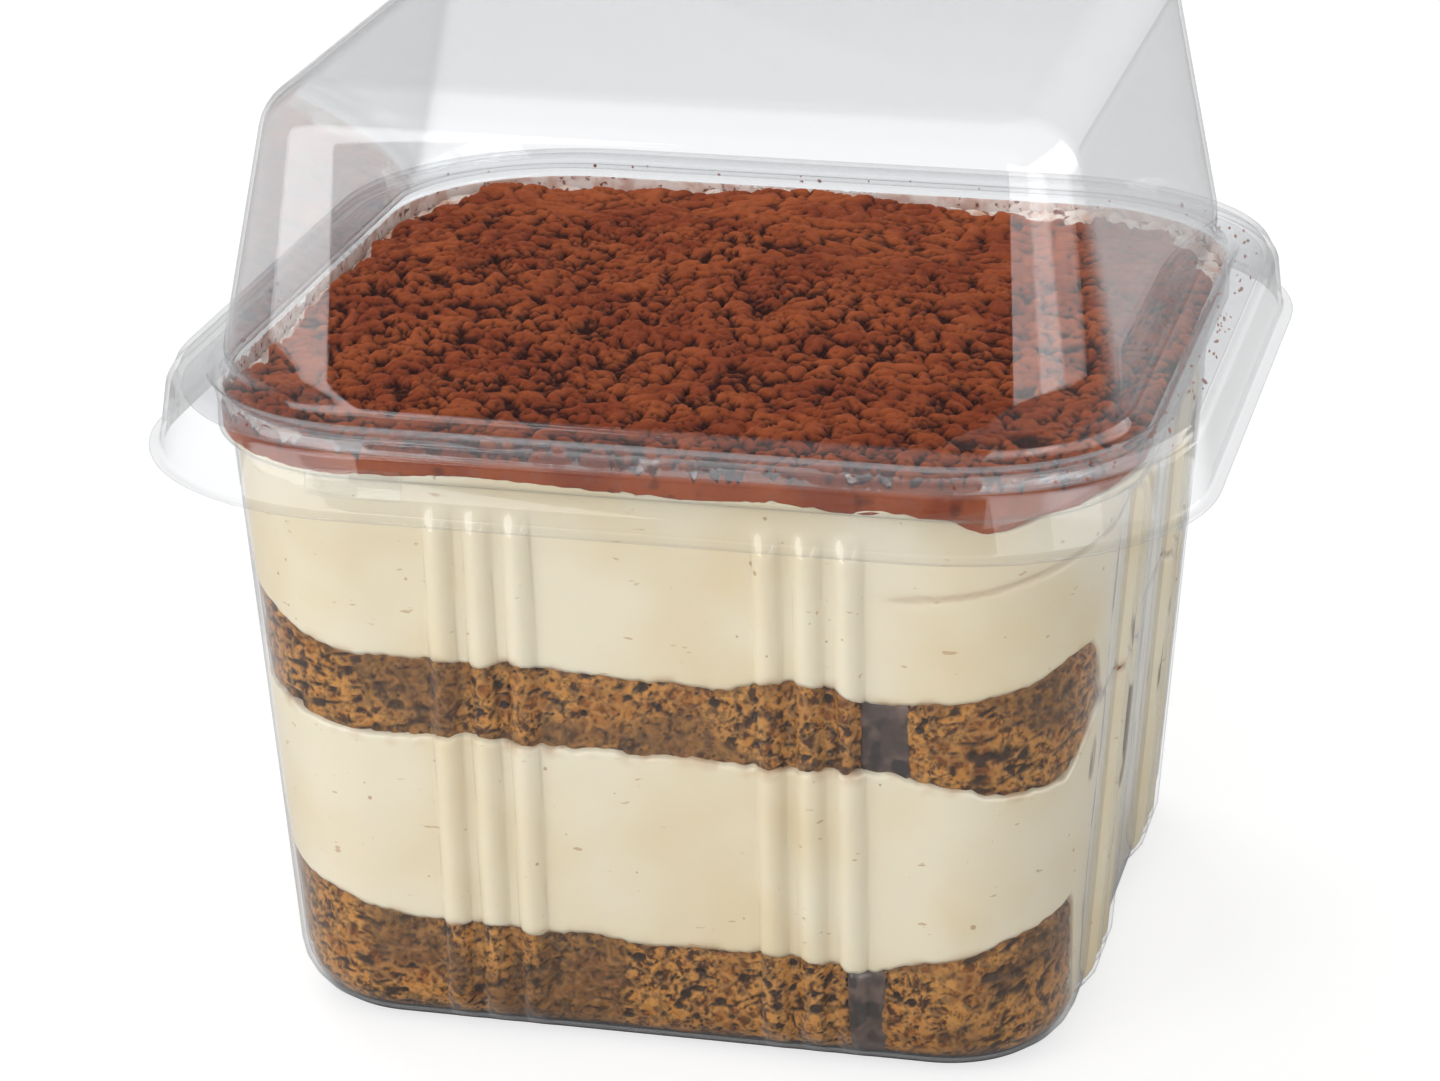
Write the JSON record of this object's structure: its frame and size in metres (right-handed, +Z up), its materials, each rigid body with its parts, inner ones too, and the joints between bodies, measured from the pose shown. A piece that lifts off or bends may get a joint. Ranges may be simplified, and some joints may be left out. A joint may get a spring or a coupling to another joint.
{
  "type": "tiramisu",
  "caption": "Tiramisu in a square clear cup: soaked sponge and cream in layers under a cocoa top, shut with a tall clear dome lid.",
  "frame": {"origin": "centre of the cup's flat base, on the surface it stands on", "axes": "+Z up out of the lid, -Y towards the front face; the sponge's seams are on the +X side of the front"},
  "size_m": [0.108, 0.108, 0.098],
  "materials": {
    "clear_plastic": "clear glossy film, faintly grey at the edges",
    "cream": "smooth pale mascarpone cream",
    "sponge": "coffee-soaked porous sponge, golden brown with dark pores",
    "cocoa": "matt reddish-brown cocoa powder in fine clumps"
  },
  "bodies": {
    "root": {"cup": "clear_plastic", "lid": "clear_plastic", "sponge_lower_long": "sponge", "sponge_lower_end": "sponge", "cream_lower": "cream", "sponge_upper_long": "sponge", "sponge_upper_end": "sponge", "cream_upper": "cream", "cocoa": "cocoa"}
  },
  "joints": []
}
